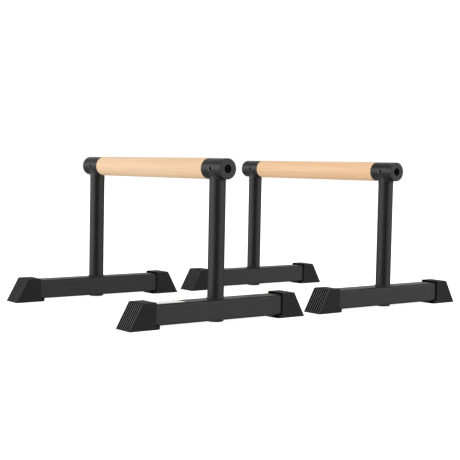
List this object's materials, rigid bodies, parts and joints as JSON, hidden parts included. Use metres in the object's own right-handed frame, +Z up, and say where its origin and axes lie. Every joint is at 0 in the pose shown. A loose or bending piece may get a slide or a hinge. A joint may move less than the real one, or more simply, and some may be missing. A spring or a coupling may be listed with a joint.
{
  "type": "parallel bars",
  "caption": "Pair of low free-standing parallel bars: a round wooden hand bar in each black steel unit, on tube bases with slanted ribbed rubber feet.",
  "frame": {"origin": "on the floor, midway between the two units, under the middle of the bars", "axes": "+X along both bars towards the front end frames, +Y across the pair from the right unit to the left unit, +Z up"},
  "size_m": [0.513, 0.871, 0.3145],
  "materials": {
    "black_powder_coat": "fine-textured matt black powder coat",
    "beech": "sanded pale beech, bare to the hand",
    "foot_rubber": "matt black moulded rubber",
    "plug_plastic": "matt black moulded plastic",
    "fastener_steel": "black-oxide steel",
    "insert_brass": "plain brass",
    "label_film": "blank satin white film"
  },
  "bodies": {
    "right_unit": {"right_front_bar_bolt": "fastener_steel", "right_front_bar_insert": "insert_brass", "right_front_base_tube": "black_powder_coat", "right_front_base_weld": "black_powder_coat", "right_front_bolt_washer": "fastener_steel", "right_front_collar": "black_powder_coat", "right_front_collar_weld": "black_powder_coat", "right_front_inner_foot": "foot_rubber", "right_front_inner_set_screw": "fastener_steel", "right_front_label": "label_film", "right_front_outer_foot": "foot_rubber", "right_front_outer_set_screw": "fastener_steel", "right_front_post": "black_powder_coat", "right_front_post_plug": "plug_plastic", "right_rear_bar_bolt": "fastener_steel", "right_rear_bar_insert": "insert_brass", "right_rear_base_tube": "black_powder_coat", "right_rear_base_weld": "black_powder_coat", "right_rear_bolt_washer": "fastener_steel", "right_rear_collar": "black_powder_coat", "right_rear_collar_weld": "black_powder_coat", "right_rear_inner_foot": "foot_rubber", "right_rear_inner_set_screw": "fastener_steel", "right_rear_outer_foot": "foot_rubber", "right_rear_outer_set_screw": "fastener_steel", "right_rear_post": "black_powder_coat", "right_rear_post_plug": "plug_plastic", "right_wood_bar": "beech"},
    "left_unit": {"left_front_bar_bolt": "fastener_steel", "left_front_bar_insert": "insert_brass", "left_front_base_tube": "black_powder_coat", "left_front_base_weld": "black_powder_coat", "left_front_bolt_washer": "fastener_steel", "left_front_collar": "black_powder_coat", "left_front_collar_weld": "black_powder_coat", "left_front_inner_foot": "foot_rubber", "left_front_inner_set_screw": "fastener_steel", "left_front_outer_foot": "foot_rubber", "left_front_outer_set_screw": "fastener_steel", "left_front_post": "black_powder_coat", "left_front_post_plug": "plug_plastic", "left_rear_bar_bolt": "fastener_steel", "left_rear_bar_insert": "insert_brass", "left_rear_base_tube": "black_powder_coat", "left_rear_base_weld": "black_powder_coat", "left_rear_bolt_washer": "fastener_steel", "left_rear_collar": "black_powder_coat", "left_rear_collar_weld": "black_powder_coat", "left_rear_inner_foot": "foot_rubber", "left_rear_inner_set_screw": "fastener_steel", "left_rear_outer_foot": "foot_rubber", "left_rear_outer_set_screw": "fastener_steel", "left_rear_post": "black_powder_coat", "left_rear_post_plug": "plug_plastic", "left_wood_bar": "beech"}
  },
  "joints": [
    {"name": "unit_spacing", "type": "slide", "parent": "right_unit", "child": "left_unit", "axis": [0, 1, 0], "range_m": [-0.036, 0.25]}
  ]
}
